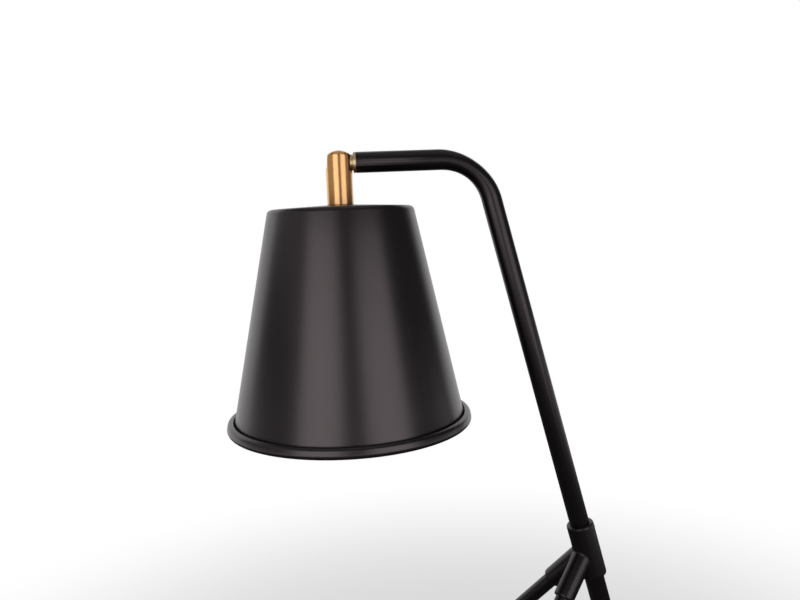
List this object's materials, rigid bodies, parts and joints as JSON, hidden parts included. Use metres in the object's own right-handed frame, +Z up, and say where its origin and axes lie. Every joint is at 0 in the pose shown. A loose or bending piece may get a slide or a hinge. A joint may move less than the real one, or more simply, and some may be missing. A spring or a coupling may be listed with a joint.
{
  "type": "tripod table lamp",
  "caption": "Table lamp: bent tube stem as rear leg, straight front legs in a hub, brass side swivel, spun conical shade with rolled rim.",
  "frame": {"origin": "table level, under the middle of the lamp's outline", "axes": "+X along the arm from the shade to the rear leg, +Z up"},
  "size_m": [0.3526, 0.2544, 0.5596],
  "materials": {
    "black_lacquer": "black baked lacquer, semi-matt",
    "shade_lacquer": "black baked lacquer outside, white inside",
    "satin_brass": "turned brass, satin with fine tool marks",
    "plated_steel": "zinc plated",
    "contact_brass": "plain",
    "black_rubber": "matt moulded",
    "holder_plastic": "moulded phenolic, low gloss",
    "block_ceramic": "unglazed",
    "black_fibre": "vulcanised fibre, matt",
    "opal_glass": "opal, satin",
    "bulb_aluminium": "plain",
    "lead_sleeve": "sleeved lead"
  },
  "bodies": {
    "stand": {"main_tube": "black_lacquer", "front_leg_left": "black_lacquer", "front_leg_right": "black_lacquer", "leg_hub": "black_lacquer", "arm_end_bush": "satin_brass", "swivel_spindle": "plated_steel", "spindle_nut": "plated_steel", "spring_washer": "plated_steel", "hub_grub_screws": "plated_steel", "foot_rear": "black_rubber", "foot_left": "black_rubber", "foot_right": "black_rubber", "cord_grommet": "black_rubber", "lead_stem": "lead_sleeve"},
    "head": {"swivel_body": "satin_brass", "swivel_plug": "satin_brass", "friction_washer": "black_fibre", "stop_pin": "plated_steel", "nipple": "plated_steel", "shade": "shade_lacquer", "shade_washer": "plated_steel", "shade_nut": "plated_steel", "holder_cap": "holder_plastic", "holder_body": "holder_plastic", "contact_block": "block_ceramic", "screw_shell": "contact_brass", "centre_contact": "contact_brass", "terminals": "contact_brass", "terminal_screws": "contact_brass", "bulb_contact": "bulb_aluminium", "bulb_cap": "bulb_aluminium", "bulb_glass": "opal_glass", "lead_head": "lead_sleeve"}
  },
  "joints": [
    {"name": "shade_swivel", "type": "hinge", "parent": "stand", "child": "head", "pos_m": [-0.08071, 0, 0.55], "axis": [1, 0, 0], "range_deg": [-90, 90]}
  ]
}
